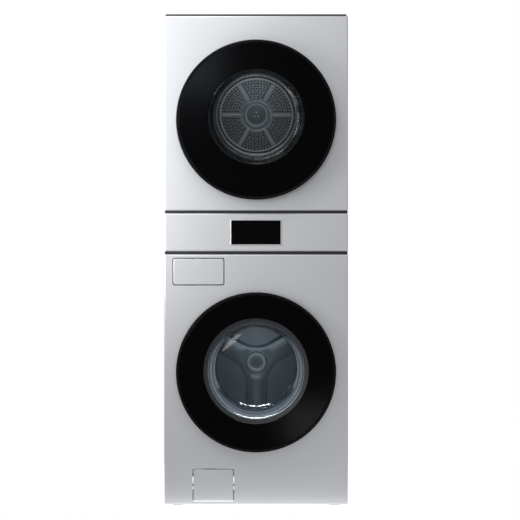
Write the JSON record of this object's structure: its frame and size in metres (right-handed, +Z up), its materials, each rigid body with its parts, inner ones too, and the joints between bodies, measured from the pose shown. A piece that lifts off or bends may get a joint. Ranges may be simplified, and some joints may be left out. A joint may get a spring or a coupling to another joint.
{
  "type": "washer dryer stack",
  "caption": "Laundry tower: front-loading washer with a round glass door below, tumble dryer with a round door above, control panel between them.",
  "frame": {"origin": "centre of the bounding box's footprint, on the floor under the feet", "axes": "+Z up along the height; the doors face -Y; +X is to the right seen from the front"},
  "size_m": [0.7, 0.83, 1.875],
  "materials": {
    "panel_steel": "silver enamel, satin",
    "cabinet_steel": "silver enamel, satin",
    "cover_black": "matt black",
    "galvanised": "galvanised",
    "white_plastic": "moulded",
    "dark_plastic": "moulded",
    "steel_parts": "zinc plated",
    "boot_rubber": "matt",
    "bezel_chrome": "polished",
    "black_glass": "glossy black glass",
    "clear_glass": "clear tempered glass",
    "circuit_board": "lacquered",
    "compressor_black": "satin",
    "coil_aluminium": "mill finish",
    "motor_steel": "laminated",
    "counterweight_iron": "rough",
    "drum_stainless": "stainless, satin",
    "lifter_plastic": "moulded"
  },
  "bodies": {
    "cabinet": {"base_frame": "galvanised", "side_panel_left": "cabinet_steel", "side_panel_right": "cabinet_steel", "washer_rear_panel": "cabinet_steel", "washer_front_panel": "panel_steel", "centre_frame": "cover_black", "dispenser_housing": "white_plastic", "inlet_valves": "white_plastic", "drain_pump": "white_plastic", "drain_spigot": "dark_plastic", "mains_gland": "dark_plastic", "door_locks": "dark_plastic", "hinge_brackets": "steel_parts", "hinge_pins": "steel_parts", "door_boot": "boot_rubber", "damper_cylinders": "dark_plastic", "control_panel": "panel_steel", "display_bezel": "bezel_chrome", "display_glass": "black_glass", "control_board": "circuit_board", "dryer_rear_panel": "cabinet_steel", "dryer_front_panel": "panel_steel", "top_cover": "cover_black", "dryer_bulkhead": "galvanised", "rear_air_duct": "galvanised", "heat_pump_base": "dark_plastic", "compressor": "compressor_black", "heat_exchangers": "coil_aluminium", "drum_motor": "motor_steel", "drum_belt": "boot_rubber"},
    "tub": {"tub_front_shell": "white_plastic", "tub_rear_shell": "white_plastic", "counterweights": "counterweight_iron", "tub_bearings": "steel_parts", "motor_stator": "motor_steel", "damper_rods": "steel_parts", "tub_springs": "steel_parts"},
    "wash_drum": {"wash_drum": "drum_stainless", "wash_drum_lifters": "lifter_plastic", "drum_spider": "coil_aluminium", "drum_shaft": "steel_parts", "motor_rotor": "motor_steel"},
    "washer_door": {"washer_door_frame": "dark_plastic", "washer_door_glass": "black_glass", "washer_door_bowl": "clear_glass"},
    "dryer_door": {"dryer_door_frame": "dark_plastic", "dryer_door_glass": "black_glass"},
    "drawer": {"detergent_drawer": "white_plastic", "drawer_front": "panel_steel"},
    "filter_flap": {"filter_cover": "panel_steel"},
    "drain_filter": {"drain_filter": "dark_plastic"},
    "dryer_drum": {"dryer_drum": "drum_stainless", "dryer_drum_back": "drum_stainless"},
    "motor_pulley": {"motor_pulley": "steel_parts"},
    "process_fan": {"process_fan": "white_plastic"},
    "lint_filter": {"lint_filter": "white_plastic"},
    "foot_front_left": {"foot_front_left": "steel_parts"},
    "foot_front_right": {"foot_front_right": "steel_parts"},
    "foot_rear_left": {"foot_rear_left": "steel_parts"},
    "foot_rear_right": {"foot_rear_right": "steel_parts"}
  },
  "joints": [
    {"name": "tub_suspension", "type": "slide", "parent": "cabinet", "child": "tub", "axis": [0, 0, 1], "range_m": [-0.008, 0.008], "stiffness_N_per_m": 20000, "springref_m": 0.03154, "deforming": ["tub_springs", "door_boot"]},
    {"name": "wash_drum_spin", "type": "hinge", "parent": "tub", "child": "wash_drum", "pos_m": [0, 0, 0.514], "axis": [0, 1, 0], "continuous": true},
    {"name": "washer_door_hinge", "type": "hinge", "parent": "cabinet", "child": "washer_door", "pos_m": [-0.29, -0.394, 0.514], "axis": [0, 0, -1], "range_deg": [0, 105]},
    {"name": "dryer_door_hinge", "type": "hinge", "parent": "cabinet", "child": "dryer_door", "pos_m": [-0.29, -0.394, 1.47], "axis": [0, 0, -1], "range_deg": [0, 105]},
    {"name": "drawer_slide", "type": "slide", "parent": "cabinet", "child": "drawer", "axis": [0, -1, 0], "range_m": [0, 0.2]},
    {"name": "filter_cover_hinge", "type": "hinge", "parent": "cabinet", "child": "filter_flap", "pos_m": [-0.1625, -0.3635, 0.0295], "axis": [1, 0, 0], "range_deg": [0, 90]},
    {"name": "drain_filter_turn", "type": "hinge", "parent": "cabinet", "child": "drain_filter", "pos_m": [-0.1625, -0.3, 0.0823], "axis": [0, 1, 0], "range_deg": [0, 90]},
    {"name": "dryer_drum_spin", "type": "hinge", "parent": "cabinet", "child": "dryer_drum", "pos_m": [0, 0, 1.545], "axis": [0, 1, 0], "continuous": true},
    {"name": "motor_pulley_spin", "type": "hinge", "parent": "cabinet", "child": "motor_pulley", "pos_m": [0.215, 0, 1.15], "axis": [0, 1, 0], "continuous": true},
    {"name": "process_fan_spin", "type": "hinge", "parent": "cabinet", "child": "process_fan", "pos_m": [-0.2, 0, 1.09], "axis": [0, 1, 0], "continuous": true},
    {"name": "lint_filter_slide", "type": "slide", "parent": "cabinet", "child": "lint_filter", "axis": [0, 0, 1], "range_m": [0, 0.15]},
    {"name": "foot_front_left_screw", "type": "slide", "parent": "cabinet", "child": "foot_front_left", "axis": [0, 0, 1], "range_m": [-0.015, 0]},
    {"name": "foot_front_right_screw", "type": "slide", "parent": "cabinet", "child": "foot_front_right", "axis": [0, 0, 1], "range_m": [-0.015, 0]},
    {"name": "foot_rear_left_screw", "type": "slide", "parent": "cabinet", "child": "foot_rear_left", "axis": [0, 0, 1], "range_m": [-0.015, 0]},
    {"name": "foot_rear_right_screw", "type": "slide", "parent": "cabinet", "child": "foot_rear_right", "axis": [0, 0, 1], "range_m": [-0.015, 0]}
  ],
  "couplings": [
    {"joint": "motor_pulley_spin", "follows": "dryer_drum_spin", "ratio": 24.125}
  ]
}
